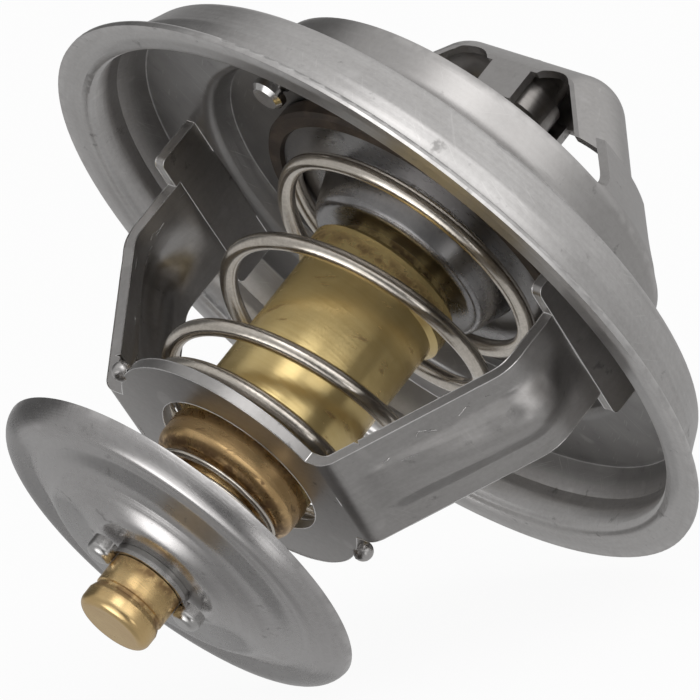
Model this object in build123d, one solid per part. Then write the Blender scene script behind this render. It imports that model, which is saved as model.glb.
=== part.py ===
from build123d import *
import math
import os

# Two-way engine thermostat, millimetres. The origin is on the axis at the
# bypass-side face of the rim. +Z runs along the axis toward the outlet cage,
# +X toward one of the two frame legs. Everything is drawn with the valve shut.

# Driving sizes of the flange pressing
RIM_R = 33.5            # outer radius of the seating rim
FLANGE_SHEET = 0.8
SHEET = 1.0             # sheet of the frame and the bypass disc
RIM_FOLD_R = RIM_R - 3.0      # mid-sheet radius of the fold at the rim
CREASE_R = RIM_FOLD_R - 0.4   # mid-sheet radius of the crease in the dish wall
CREASE_Z = 3.5
DISH_R = CREASE_R - 1.25      # mid-sheet radius at the top of the dish wall
DISH_Z = 6.1                  # bypass-side face of the outer dish floor
LEG_R = DISH_R - 5.45         # outer face of the upright frame legs, in the dish floor
STEP_R = LEG_R - 1.2          # ring step in the dish floor
SEAT_Z = 8.3            # bypass-side face of the inner floor, the valve seat
PORT_R = 13.4           # main valve port radius

# Bridge pressing above the flange
BRIDGE_SHEET = 0.8
CAGE_R = 20.1           # outer radius of the bridge ring
CAGE_SHOULDER_Z = 13.7
CAGE_TOP_R = 8.2
CAGE_TOP_Z = 26.4       # crown of the top bar
STRAP_HALF = 4.2        # half width of the two straps and the top bar
ARCH_R = 4.7            # outer radius of the arched bar section
ARCH_FROM_Z = 18.6      # the arch runs out into flat straps below this height
PLUG_R = 2.3            # seat plug in the top bar

# Piston and wax element
PISTON_R = 1.9
PISTON_END_Z = -9.0
RUN_FIT = 0.05          # radial running clearance of sliding fits
FACE_GAP = 0.3          # gap between parts that move past each other
CUP_R = 6.75            # brass wax cup
CUP_BOTTOM_Z = -21.7
CUP_WALL = 0.8
CRIMP_R = 7.3           # crimped collar of the cup
CAP_R = 6.9             # end cap over the lower end of the cup
CAP_TOP_Z = -19.0
CAP_SHEET = 0.7
GUIDE_R = 4.2           # upper guide tube
GUIDE_TOP_Z = 11.6
GROOVE_Z = 5.2          # groove of the guide that takes the split ring
STEM_R = 2.6
CLIP_Z = -32.0          # upper side of the clip groove
NECK_R = 3.35           # stem below the clip
TIP_R = 3.5
TIP_Z = -37.6
EAR_R = 1.3             # rounded ears of the clip
EAR_PLACE = 4.55
CLIP_R = 3.75           # ring of the clip, between its ears
EAR_Z = -33.6

# Main valve
HUB_Z = 3.1             # bypass-side face of the plate hub
HUB_R = 8.7
SPRING_SEAT_Z = 6.7     # bypass-side face of the spring seat ring
VALVE_R = 15.3
PLATE_SHEET = 0.9

# Main spring
WIRE_R = 0.78
SPRING_TOP_R = 12.7     # mean coil radius under the valve plate
SPRING_FOOT_R = 10.0    # mean coil radius on the frame base

# Lower frame
BASE_Z = -19.4          # bypass-side face of the base plate
BASE_R = 12.3
BASE_HALF_LENGTH = 13.05  # mid-sheet, at the lower bends
LEG_HALF = 5.15
ELBOW_Z = -4.95
HEAD_HALF = 8.2
HEAD_Z = 1.15           # shoulder of the wide head
TAB_HALF = 4.4
BASE_HOLE_R = 8.0       # the wax cup passes through with room to spare
LUG_PLACE = (9.75, 8.25)  # small rounded lug at the edge of the base plate
LUG_R = 0.9
ELBOW_BEND = 4.0        # mid-sheet bend radius of the elbow
BEAD_HALF = 3.4         # half width of the leg beads
BEAD_RISE = 1.5

# Bypass disc
DISC_R = 17.9
DISC_EDGE_Z = -27.8
DISC_FACE_Z = -31.05    # mid-sheet height of the flat round the stem
DISC_CURL = 1.5         # height of the curled edge
TROUGH_R = 13.9         # bottom of the trough inside the curled edge
TROUGH_Z = -28.75
DOME_R = 10.7           # edge of the dome
DOME_Z = -30.55
DISC_FLAT_R = 5.0

# Bypass spring, a cone that is wide at the cup
FINE_WIRE_R = 0.3
CONE_TOP_R = 5.9
CONE_FOOT_R = 4.3
LOOSE_FIT = 0.08        # radial clearance of the disc and vent pin

# Vent pin
VENT_R = STEP_R - 4.0
VENT_ANGLE = 239.6
VENT_HOLE_R = 1.2
VENT_PLAY = 0.7
VENT_RISE = 2.9         # pin above the dish floor when it is shut
WEIGHT_R = 2.0


def revolve_profile(points, radius, thickness):
    """Sheet of revolution whose mid line runs through the given r, z points."""
    path = FilletPolyline(*points, radius=radius)
    return revolve(Plane.XZ * trace(path, thickness), Axis.Z, 360)


def turned(points):
    """Solid of revolution with the given closed r, z outline."""
    return revolve(Plane.XZ * make_face(Polyline(*points, close=True)), Axis.Z, 360)


def tube(r_out, r_in, z0, z1):
    """Plain ring between two heights."""
    ring = Cylinder(r_out, z1 - z0, align=(Align.CENTER, Align.CENTER, Align.MIN))
    ring -= Cylinder(r_in, z1 - z0, align=(Align.CENTER, Align.CENTER, Align.MIN))
    return Pos(0, 0, z0) * ring


def rod(r, z0, z1):
    """Plain cylinder between two heights."""
    return Pos(0, 0, z0) * Cylinder(r, z1 - z0, align=(Align.CENTER, Align.CENTER, Align.MIN))


def leg_slots():
    """Two slots that take the leg tabs."""
    cut = None
    for side in (-1, 1):
        slot = Pos(side * (LEG_R - SHEET / 2), 0, DISH_Z) * Box(
            SHEET + 0.12, 2 * TAB_HALF + 0.12, 4)
        cut = slot if cut is None else cut + slot
    return cut


def vent_place():
    """Centre of the vent hole."""
    a = math.radians(VENT_ANGLE)
    return VENT_R * math.cos(a), VENT_R * math.sin(a)


def make_flange():
    """Deep drawn dish with the seating rim, the valve seat and a rolled neck."""
    half = FLANGE_SHEET / 2
    neck = PORT_R + half
    roll_z = SEAT_Z + FLANGE_SHEET + BRIDGE_SHEET + 0.02 + half
    body = revolve_profile(
        [(RIM_R, half), (RIM_FOLD_R, half), (CREASE_R, CREASE_Z), (DISH_R, DISH_Z + half),
         (STEP_R, DISH_Z + half), (STEP_R - 0.8, SEAT_Z + half), (neck, SEAT_Z + half),
         (neck, roll_z), (neck + 1.6, roll_z)], 0.55, FLANGE_SHEET)
    rim_edge = [e for e in body.edges().filter_by(GeomType.CIRCLE)
                if abs(e.radius - RIM_R) < 0.01 and e.center().Z > half]
    body = fillet(rim_edge, 0.5)
    vx, vy = vent_place()
    body -= leg_slots()
    body -= Pos(vx, vy, SEAT_Z) * Cylinder(VENT_HOLE_R, 6)
    return body


def make_bridge():
    """Cage pressing: ring, two windows, two straps and an arched top bar."""
    half = BRIDGE_SHEET / 2
    foot_z = SEAT_Z + FLANGE_SHEET + half
    corner = CAGE_TOP_Z - half
    path = FilletPolyline(
        (PORT_R + FLANGE_SHEET + 0.3, foot_z), (CAGE_R - half, foot_z),
        (CAGE_R - half, CAGE_SHOULDER_Z), (CAGE_TOP_R, corner), (0, corner), radius=1.6)
    shell = revolve(Plane.XZ * trace(path, BRIDGE_SHEET), Axis.Z, 360)
    low = ARCH_FROM_Z + 0.5
    wide = 3 * CAGE_R
    shell &= Pos(0, 0, low) * Box(wide, wide, wide,
                                  align=(Align.CENTER, Align.CENTER, Align.MAX))
    window_z = CAGE_SHOULDER_Z + 0.2
    for side in (-1, 1):
        cut = Pos(0, side * (STRAP_HALF + CAGE_R / 2), window_z + CAGE_R / 2) * Box(
            wide, CAGE_R, CAGE_R)
        edge = [e for e in cut.edges().filter_by(Axis.X)
                if abs(e.center().Z - window_z) < 0.01
                and abs(abs(e.center().Y) - STRAP_HALF) < 0.01]
        shell -= fillet(edge, 2.4)
    body = shell + top_arch()
    skirt_z = CAGE_TOP_Z - ARCH_R + 1.1
    for side in (-1, 1):
        tab = Pos(0, side * (STRAP_HALF - half), skirt_z - 0.9) * Box(
            4.6, BRIDGE_SHEET, 3.4)
        body += tab
        body -= Pos(side * 4.9, 0, skirt_z - 1.0) * Rot(90, 0, 0) * Cylinder(2.5, 20)
    body -= Pos(0, 0, CAGE_TOP_Z) * Cylinder(PLUG_R + 0.02, 6)
    vx, vy = vent_place()
    top = SEAT_Z + VENT_RISE + VENT_PLAY + FACE_GAP
    body -= Pos(vx, vy, 0) * rod(WEIGHT_R + 0.5, SEAT_Z, top)
    return body


def top_arch():
    """Arched bar over the top, with its slopes down to the flat straps."""
    run = CAGE_TOP_R + (CAGE_TOP_Z - ARCH_FROM_Z + 1.5) * (
        CAGE_R - CAGE_TOP_R) / (CAGE_TOP_Z - CAGE_SHOULDER_Z)
    low = ARCH_FROM_Z - 1.5
    path = FilletPolyline((-run, low), (-CAGE_TOP_R, CAGE_TOP_Z), (CAGE_TOP_R, CAGE_TOP_Z),
                          (run, low), radius=4.0)
    path = Plane.XZ * path
    start = Plane(origin=path @ 0, x_dir=(0, 1, 0), z_dir=path % 0)
    ring = Circle(ARCH_R) - Circle(ARCH_R - BRIDGE_SHEET)
    up = 1 if (start.y_dir.Z > 0) else -1
    section = Pos(0, -up * ARCH_R) * ring
    section &= Pos(0, -up * 1.5) * Rectangle(2 * STRAP_HALF, 3.0)
    arch = sweep(start * section, path=path, transition=Transition.ROUND)
    return arch & (Pos(0, 0, ARCH_FROM_Z) * Box(
        3 * CAGE_R, 3 * CAGE_R, CAGE_R, align=(Align.CENTER, Align.CENTER, Align.MIN)))


def make_seat_plug():
    """Turned plug through the top bar that holds the piston."""
    z = CAGE_TOP_Z
    shoulder = z - ARCH_R + 1.7
    return turned([(0, z - 0.4), (PLUG_R - 0.3, z - 0.4), (PLUG_R, z - 0.7),
                   (PLUG_R, shoulder), (PLUG_R + 0.7, shoulder), (PLUG_R + 0.7, z - 5.4),
                   (PLUG_R + 0.3, z - 5.8), (PISTON_R, z - 5.8), (PISTON_R, z - 1.2),
                   (0, z - 1.2)])


def make_piston():
    """Ground pin, fixed in the bridge, that the element slides on."""
    body = rod(PISTON_R, PISTON_END_Z, CAGE_TOP_Z - 1.2)
    return chamfer(body.edges().group_by(Axis.Z)[0], 0.4)


def make_frame():
    """Lower stirrup: base plate, two sloping legs with beads, wide heads and tabs."""
    half = SHEET / 2
    leg_path = FilletPolyline((0, BASE_Z + half), (BASE_HALF_LENGTH, BASE_Z + half),
                              (LEG_R - half, ELBOW_Z), (LEG_R - half, HEAD_Z + 1),
                              radius=1.5)
    strap = extrude(Plane.XZ * trace(leg_path, SHEET), LEG_HALF, both=True)
    cut_z = BASE_Z + 3.2
    strap &= Pos(0, 0, cut_z) * Box(80, 40, 20, align=(Align.CENTER, Align.CENTER, Align.MAX))
    head = Pos(LEG_R - half, 0, HEAD_Z) * Box(
        SHEET, 2 * HEAD_HALF, DISH_Z - HEAD_Z - 0.02,
        align=(Align.CENTER, Align.CENTER, Align.MIN))
    low = [e for e in head.edges().filter_by(Axis.X) if e.center().Z < HEAD_Z + 1]
    head = fillet(low, 0.7)
    tab = Pos(LEG_R - half, 0, DISH_Z - 0.1) * Box(
        SHEET, 2 * TAB_HALF, 2.2, align=(Align.CENTER, Align.CENTER, Align.MIN))
    hook = Pos(LEG_R - half, 0, DISH_Z + FLANGE_SHEET + 0.03) * Box(
        SHEET, 2 * TAB_HALF + 1.6, 1.3, align=(Align.CENTER, Align.CENTER, Align.MIN))
    leg = strap + pressed_leg(cut_z) + head + tab + hook
    body = leg + leg.rotate(Axis.Z, 180)
    body += rod(BASE_R, BASE_Z, BASE_Z + SHEET)
    for side in (-1, 1):
        body += Pos(side * LUG_PLACE[0], side * LUG_PLACE[1], BASE_Z + half) * Sphere(LUG_R)
    return body - rod(BASE_HOLE_R, BASE_Z - 5, BASE_Z + 5)


def pressed_leg(from_z):
    """Sloping and upright run of one leg, with a long bead pressed out of its sheet."""
    half = SHEET / 2
    foot = Vector(BASE_HALF_LENGTH, 0, BASE_Z + half)
    elbow = Vector(LEG_R - half, 0, ELBOW_Z)
    slope = (elbow - foot).normalized()
    start = foot + slope * ((from_z - foot.Z) / slope.Z)
    path = FilletPolyline(start, elbow, Vector(LEG_R - half, 0, HEAD_Z + 0.6),
                          radius=ELBOW_BEND)
    sections = []
    stations = 14
    for i in range(stations + 1):
        t = i / stations
        rise = BEAD_RISE * bead_swell(t)
        along = path % t
        out = Vector(along.Z, 0, -along.X)
        sections.append(bead_section(path @ t, out, rise))
    return loft(sections, ruled=False)


def bead_swell(t):
    """Height of the bead along the leg, 0 at both ends and 1 round the elbow."""
    grow = min(1.0, max(0.0, (t - 0.02) / 0.55))
    fall = min(1.0, max(0.0, (0.93 - t) / 0.22))
    return math.sin(grow * math.pi / 2) ** 1.5 * math.sin(fall * math.pi / 2) ** 1.5


def bead_section(centre, out, rise):
    """Section across the sheet with a soft swelling of the given height."""
    half = SHEET / 2
    outer, inner = [], []
    for i in range(13):
        y = LEG_HALF * (i / 6 - 1)
        swell = rise * math.cos(math.pi / 2 * min(1.0, abs(y) / BEAD_HALF)) ** 2
        outer.append(centre + out * (swell + half) + Vector(0, y, 0))
        inner.append(centre + out * (swell - half) + Vector(0, y, 0))
    top, low = Spline(*outer), Spline(*inner)
    return make_face([top, low, Line(outer[0], inner[0]), Line(outer[-1], inner[-1])])


def make_element_cup():
    """Deep brass cup with the wax chamber and the crimped collar."""
    inner = CUP_R - CUP_WALL
    bare = CAP_R - CAP_SHEET
    return turned([(0, CUP_BOTTOM_Z), (bare - 0.6, CUP_BOTTOM_Z), (bare, CUP_BOTTOM_Z + 0.6),
                   (bare, CAP_TOP_Z), (CUP_R, CAP_TOP_Z + 0.02), (CUP_R, -1.1),
                   (CRIMP_R, -0.7), (CRIMP_R, 1.6), (CRIMP_R - 0.4, 2.0),
                   (GUIDE_R + 1.4, 2.0), (GUIDE_R + 1.4, 1.2), (CRIMP_R - 0.8, 1.2),
                   (CRIMP_R - 0.8, -0.9), (inner, -1.3), (inner, CUP_BOTTOM_Z + 1.8),
                   (STEM_R - 0.6, CUP_BOTTOM_Z + 1.8), (STEM_R - 0.6, CUP_BOTTOM_Z + 1.0),
                   (0, CUP_BOTTOM_Z + 1.0)])


def make_end_cap():
    """Brass cap pressed over the lower end of the cup, with a well rounded edge."""
    bottom = CUP_BOTTOM_Z - CAP_SHEET
    bore = CAP_R - CAP_SHEET
    cap = rod(CAP_R, bottom, CAP_TOP_Z)
    cap = fillet(cap.edges().group_by(Axis.Z)[0], 1.3)
    cap = chamfer(cap.edges().group_by(Axis.Z)[-1], 0.2)
    cap -= turned([(0, CUP_BOTTOM_Z), (bore - 0.6, CUP_BOTTOM_Z), (bore, CUP_BOTTOM_Z + 0.6),
                   (bore, CAP_TOP_Z + 1), (0, CAP_TOP_Z + 1)])
    return cap - rod(STEM_R - 0.6, bottom - 1, CUP_BOTTOM_Z + 0.1)


def make_guide_body():
    """Upper guide with the flange that the cup is crimped over."""
    bore = PISTON_R + RUN_FIT
    seal_r = 3.1
    return turned([(bore, -0.3), (CRIMP_R - 0.8, -0.3), (CRIMP_R - 0.8, 1.2),
                   (GUIDE_R + 1.4, 1.2), (GUIDE_R + 1.4, HUB_Z), (GUIDE_R, HUB_Z),
                   (GUIDE_R, GROOVE_Z), (GUIDE_R - 0.4, GROOVE_Z),
                   (GUIDE_R - 0.4, GROOVE_Z + 1), (GUIDE_R, GROOVE_Z + 1),
                   (GUIDE_R, GUIDE_TOP_Z - 0.5),
                   (GUIDE_R - 0.5, GUIDE_TOP_Z), (seal_r, GUIDE_TOP_Z),
                   (seal_r, GUIDE_TOP_Z - 2.4), (bore, GUIDE_TOP_Z - 2.4)])


def make_piston_seal():
    """Wiper ring at the top of the guide."""
    return tube(3.1, PISTON_R + RUN_FIT, GUIDE_TOP_Z - 2.4, GUIDE_TOP_Z - 0.3)


def make_rubber_boot():
    """Rubber boot that wraps the piston end inside the wax."""
    bore = PISTON_R + RUN_FIT
    low = PISTON_END_Z - FACE_GAP
    flange_r = CRIMP_R - 0.8
    return turned([(0, low - 1.6), (2.2, low - 1.6), (3.3, low - 0.8), (3.6, -4.5),
                   (3.9, -1.3), (CUP_R - CUP_WALL, -1.3), (flange_r, -0.9),
                   (flange_r, -0.7), (bore, -0.7), (bore, low), (0, low)])


def make_backup_washer():
    """Thin stiff washer between the boot and the guide."""
    return tube(CRIMP_R - 0.8, PISTON_R + RUN_FIT, -0.7, -0.3)


def make_wax_charge():
    """Wax filling round the boot."""
    inner = CUP_R - CUP_WALL
    floor = CUP_BOTTOM_Z + 1.8
    low = PISTON_END_Z - FACE_GAP
    return turned([(0, floor), (inner, floor), (inner, -1.3), (3.9, -1.3), (3.6, -4.5),
                   (3.3, low - 0.8), (2.2, low - 1.6), (0, low - 1.6)])


def make_stem():
    """Brass stem under the cup with the clip groove and the end button."""
    top = CUP_BOTTOM_Z - CAP_SHEET
    body = turned([(0, CUP_BOTTOM_Z), (STEM_R - 0.6, CUP_BOTTOM_Z), (STEM_R - 0.6, top),
                   (4.0, top), (4.0, top - 0.9), (STEM_R, top - 0.9),
                   (STEM_R, CLIP_Z), (STEM_R - 0.5, CLIP_Z), (STEM_R - 0.5, CLIP_Z - 0.5),
                   (NECK_R, CLIP_Z - 0.5), (NECK_R, TIP_Z + 2.6), (NECK_R - 0.15, TIP_Z + 2.5),
                   (NECK_R - 0.15, TIP_Z + 2.2), (NECK_R, TIP_Z + 2.1), (TIP_R, TIP_Z + 1.7),
                   (TIP_R, TIP_Z), (0, TIP_Z)])
    return fillet(body.edges().filter_by(GeomType.CIRCLE).group_by(Axis.Z)[0], 0.8)


def make_valve_plate():
    """Main valve pressing: hub, spring seat ring and rim that carries the rubber."""
    half = PLATE_SHEET / 2
    return revolve_profile(
        [(GUIDE_R + 0.02, HUB_Z + half), (HUB_R - half, HUB_Z + half),
         (HUB_R + 0.9, SPRING_SEAT_Z + half), (VALVE_R, SPRING_SEAT_Z + half)],
        0.5, PLATE_SHEET)


def make_valve_rubber():
    """Rubber ring moulded round the edge of the valve plate."""
    top = SEAT_Z - FACE_GAP
    face = SPRING_SEAT_Z + PLATE_SHEET + 0.01
    under = SPRING_SEAT_Z - 0.01
    return turned([(VALVE_R - 1.1, under), (VALVE_R - 0.9, under - 0.4),
                   (VALVE_R + 0.3, under - 0.4), (VALVE_R + 0.6, under),
                   (VALVE_R + 0.6, top), (VALVE_R - 1.3, top), (VALVE_R - 1.5, face),
                   (VALVE_R + 0.01, face), (VALVE_R + 0.01, under)])


def make_plate_ring():
    """Split ring that holds the plate on the guide."""
    low = GROOVE_Z + 0.02
    ring = tube(GUIDE_R + 1.3, GUIDE_R - 0.38, low, GROOVE_Z + 0.98)
    gap = Pos(GUIDE_R + 1, 0, GROOVE_Z + 0.5) * Box(2 * GUIDE_R, 1.6, 3)
    spacer = tube(GUIDE_R + 1.3, GUIDE_R + 0.02, HUB_Z + PLATE_SHEET + 0.01, low)
    return (ring - gap) + spacer


def coil(points, wire):
    """Round wire swept along a smooth line through the given points."""
    path = Spline(*points)
    start = Plane(origin=path @ 0, z_dir=path % 0)
    return sweep(start * Circle(wire), path=path)


def spring_points(z0, z1, r0, r1, turns, end_turns, wire, steps):
    """Points of a closed-end coil between two heights, radius easing from r0 to r1."""
    pts = []
    lead = wire * 2.06
    total = turns + 2 * end_turns
    free = (z1 - z0) - 2 * wire - 2 * lead * end_turns
    count = int(total * steps)
    for i in range(count + 1):
        t = total * i / count
        a = 2 * math.pi * t
        if t < end_turns:
            z = lead * t
        elif t > total - end_turns:
            z = lead * end_turns + free + lead * (t - (total - end_turns))
        else:
            z = lead * end_turns + free * (t - end_turns) / turns
        r = r0 + (r1 - r0) * t / total
        pts.append((r * math.cos(a), r * math.sin(a), z0 + wire + z))
    return pts


def make_main_spring():
    """Return spring between the frame base and the valve plate."""
    z0 = BASE_Z + SHEET + 0.02
    z1 = SPRING_SEAT_Z - 0.02
    pts = spring_points(z0, z1, SPRING_FOOT_R, SPRING_TOP_R, 2.2, 0.95, WIRE_R, 14)
    return coil(pts, WIRE_R).rotate(Axis.Z, 170)


def make_bypass_spring():
    """Light cone spring that lets the disc give way."""
    z0 = DISC_FACE_Z + SHEET / 2 + 0.02
    z1 = CUP_BOTTOM_Z - CAP_SHEET - 0.02
    pts = spring_points(z0, z1, CONE_FOOT_R, CONE_TOP_R, 3.2, 0.95, FINE_WIRE_R, 14)
    return coil(pts, FINE_WIRE_R)


def make_bypass_disc():
    """Bypass valve pressing with a curled edge, a trough and a low dome."""
    half = SHEET / 2
    hole = STEM_R + LOOSE_FIT
    return revolve_profile(
        [(DISC_R - half, DISC_EDGE_Z), (DISC_R - half - 0.2, DISC_EDGE_Z - DISC_CURL),
         (TROUGH_R, TROUGH_Z), (DOME_R, DOME_Z), (DISC_FLAT_R, DISC_FACE_Z),
         (hole, DISC_FACE_Z)], 1.35, SHEET)


def make_stop_washer():
    """Washer between the disc and the clip."""
    return tube(CLIP_R - 0.05, STEM_R + LOOSE_FIT, CLIP_Z + 0.01,
                DISC_FACE_Z - SHEET / 2 - 0.02)


def make_retaining_clip():
    """Clip in the stem groove with two rounded ears."""
    thick = 0.42
    low = CLIP_Z - 0.02 - thick
    body = tube(CLIP_R, STEM_R - 0.48, low, CLIP_Z - 0.02)
    for side in (-1, 1):
        ear = Pos(side * EAR_PLACE, 0, EAR_Z) * Cylinder(
            EAR_R, CLIP_Z - 0.02 - EAR_Z, align=(Align.CENTER, Align.CENTER, Align.MIN))
        body += fillet(ear.edges().group_by(Axis.Z)[0], 0.7)
    body -= rod(NECK_R + 0.05, EAR_Z - 1, low)
    return body.rotate(Axis.Z, 45)


def make_vent_pin():
    """Loose vent pin with its valve head under the floor, hanging on its weight."""
    vx, vy = vent_place()
    head = SEAT_Z - FACE_GAP - VENT_PLAY
    pin = turned([(0, head - 1.0), (1.2, head - 1.0), (1.6, head - 0.6), (1.6, head),
                  (0.9, head), (0.9, SEAT_Z + VENT_RISE), (0, SEAT_Z + VENT_RISE)])
    return Pos(vx, vy, 0) * pin


def make_vent_weight():
    """Small ball-shaped weight pressed on the vent pin above the floor."""
    vx, vy = vent_place()
    low = SEAT_Z + FLANGE_SHEET + 0.02
    return Pos(vx, vy, 0) * turned(
        [(0.9, low), (1.5, low), (WEIGHT_R, low + 0.6), (WEIGHT_R, low + 1.0),
         (1.5, low + 1.4), (0.9, low + 1.4)])


def main():
    """Write every node as its own file."""
    os.makedirs("parts", exist_ok=True)
    makers = {
        "flange": make_flange, "bridge": make_bridge, "seat_plug": make_seat_plug,
        "piston": make_piston, "frame": make_frame, "end_cap": make_end_cap,
        "vent_pin": make_vent_pin, "vent_weight": make_vent_weight,
        "element_cup": make_element_cup, "wax_charge": make_wax_charge,
        "rubber_boot": make_rubber_boot, "guide_body": make_guide_body,
        "piston_seal": make_piston_seal, "backup_washer": make_backup_washer,
        "valve_plate": make_valve_plate, "valve_rubber": make_valve_rubber,
        "plate_ring": make_plate_ring, "main_spring": make_main_spring, "stem": make_stem,
        "bypass_spring": make_bypass_spring, "bypass_disc": make_bypass_disc,
        "stop_washer": make_stop_washer, "retaining_clip": make_retaining_clip,
    }
    for name, make in makers.items():
        export_step(make(), "parts/" + name + ".step")


main()
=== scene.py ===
"""Dresses a two-way engine thermostat for a studio picture.

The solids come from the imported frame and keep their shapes. This script gives each of
them a procedural finish, lays bright burrs along the sheared edges of the stirrup, and
sets the stage: a pale table that the thermostat leans on, plain studio light and the
camera.

The axis of the thermostat is Z, with the outlet cage above and the bypass disc below.
Sizes of pieces are in metres; shader patterns are worked out in millimetres.
"""
from __future__ import annotations

import logging
import math
from abc import ABC, abstractmethod
from dataclasses import dataclass, field, replace
from enum import Enum
from typing import Optional, Union

import bpy
import numpy as np
from mathutils import Matrix, Vector


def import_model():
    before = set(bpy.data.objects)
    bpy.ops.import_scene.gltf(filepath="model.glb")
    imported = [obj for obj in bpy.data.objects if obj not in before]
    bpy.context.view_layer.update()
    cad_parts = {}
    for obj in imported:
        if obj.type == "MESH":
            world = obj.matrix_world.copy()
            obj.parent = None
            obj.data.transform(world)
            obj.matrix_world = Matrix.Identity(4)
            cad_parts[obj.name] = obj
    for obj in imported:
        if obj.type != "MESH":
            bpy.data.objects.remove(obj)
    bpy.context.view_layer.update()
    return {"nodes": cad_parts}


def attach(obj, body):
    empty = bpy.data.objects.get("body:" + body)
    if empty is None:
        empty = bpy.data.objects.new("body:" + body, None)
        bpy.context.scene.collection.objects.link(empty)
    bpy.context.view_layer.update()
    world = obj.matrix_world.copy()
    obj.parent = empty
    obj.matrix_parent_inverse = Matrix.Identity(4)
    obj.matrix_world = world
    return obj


LOG = logging.getLogger("thermostat")
MM = 0.001
Triple = tuple[float, float, float]
Colour = Triple
Socket = bpy.types.NodeSocket
WHITE: Colour = (1.0, 1.0, 1.0)


# Shader arithmetic

class Signal:
    """A shader socket that takes part in Python's arithmetic."""

    def __init__(self, graph: "Graph", socket: Socket) -> None:
        """Wraps one output socket of a graph.

        Args:
            graph: The graph that owns the socket.
            socket: The output socket.
        """
        self.graph = graph
        self.socket = socket

    def math(self, operation: str, *others: "Operand") -> "Signal":
        """Adds one Math node.

        Args:
            operation: Name of the Math node's operation.
            others: The node's further inputs.

        Returns:
            The node's result.
        """
        return self.graph.math(operation, self, *others)

    def __add__(self, other: "Operand") -> "Signal":
        """Sum."""
        return self.math("ADD", other)

    def __sub__(self, other: "Operand") -> "Signal":
        """Difference."""
        return self.math("SUBTRACT", other)

    def __rsub__(self, other: "Operand") -> "Signal":
        """Difference from a number."""
        return self.graph.math("SUBTRACT", other, self)

    def __mul__(self, other: "Operand") -> "Signal":
        """Product."""
        return self.math("MULTIPLY", other)

    def __truediv__(self, other: "Operand") -> "Signal":
        """Quotient."""
        return self.math("DIVIDE", other)

    __radd__ = __add__
    __rmul__ = __mul__

    def step(self, low: float, high: float) -> "Signal":
        """Smooth step from 0 at low to 1 at high.

        Args:
            low: Value where the step starts; may be above high for a falling step.
            high: Value where the step ends.

        Returns:
            A mask between 0 and 1.
        """
        node = self.graph.node(
            "ShaderNodeMapRange", {"interpolation_type": "SMOOTHSTEP"},
            {"Value": self, "From Min": low, "From Max": high})
        return Signal(self.graph, node.outputs["Result"])


Operand = Union[Signal, float]


@dataclass(frozen=True)
class Pattern:
    """A smooth noise pattern.

    Attributes:
        scale: Blobs per millimetre, or per unit of stretched coordinates.
        detail: Number of finer layers.
        roughness: Strength of the finer layers.
    """

    scale: float
    detail: float = 2.0
    roughness: float = 0.5


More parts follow.
